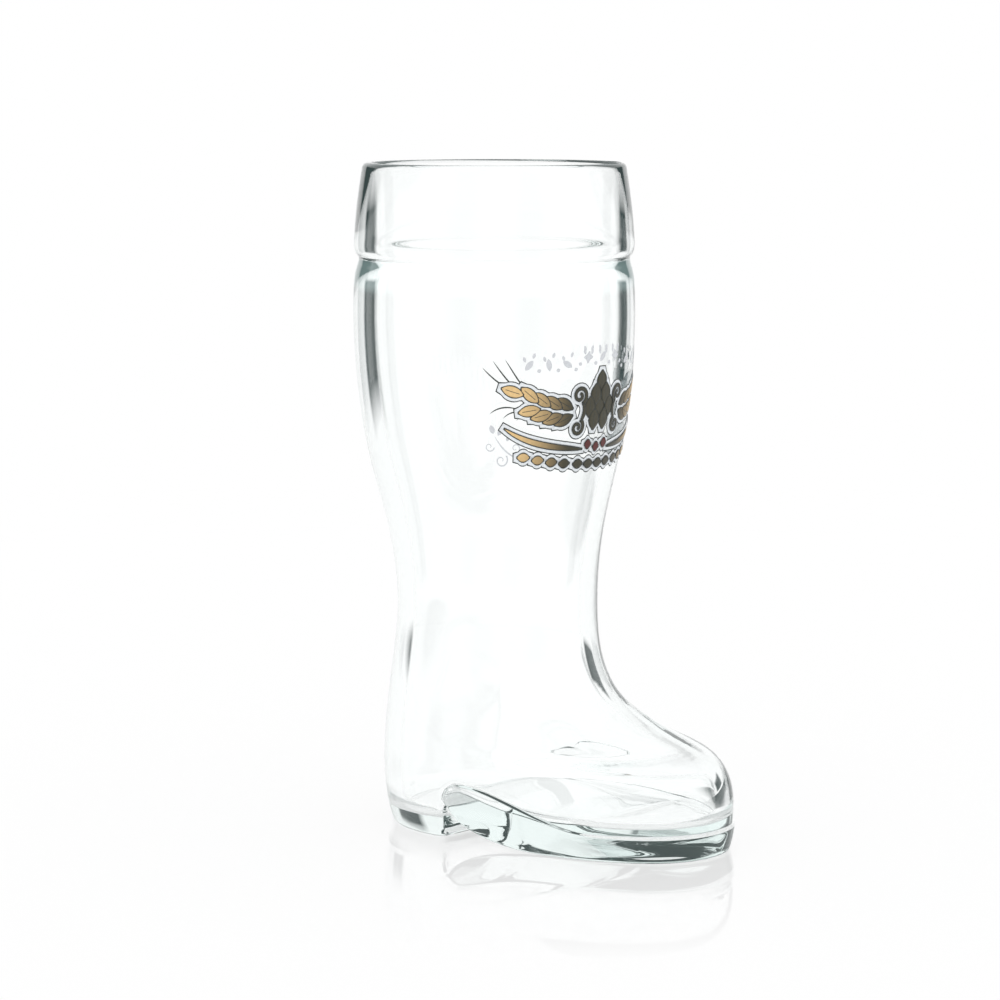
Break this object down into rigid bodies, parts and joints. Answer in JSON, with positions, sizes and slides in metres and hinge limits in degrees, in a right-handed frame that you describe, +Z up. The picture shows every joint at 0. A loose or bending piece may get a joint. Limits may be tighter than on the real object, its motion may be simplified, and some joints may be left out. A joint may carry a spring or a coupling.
{
  "type": "beer boot glass",
  "caption": "Clear drinking glass in the shape of a riding boot, with a thick cuff at the rim, an arched sole and a fired print on the shin.",
  "frame": {"origin": "centre of the bounding box, on the surface that the glass stands on", "axes": "+X points out along the toe, +Z up through the rim, +Y to the boot's left"},
  "size_m": [0.1244, 0.0826, 0.195],
  "materials": {
    "clear_glass": "clear pressed soda-lime glass, faintly grey-green at its edges",
    "enamel_silver": "fired ceramic enamel ink, thin and slightly satin",
    "enamel_dark": "fired ceramic enamel ink, thin and slightly satin",
    "enamel_gold": "fired ceramic enamel ink, thin and slightly satin",
    "enamel_red": "fired ceramic enamel ink, thin and slightly satin",
    "enamel_pale": "fired ceramic enamel ink, thin and slightly satin"
  },
  "bodies": {
    "root": {"boot_glass": "clear_glass", "print_silver_ground": "enamel_silver", "print_dark_line": "enamel_dark", "print_gold_fill": "enamel_gold", "print_red_berries": "enamel_red", "print_pale_leaves": "enamel_pale"}
  },
  "joints": []
}
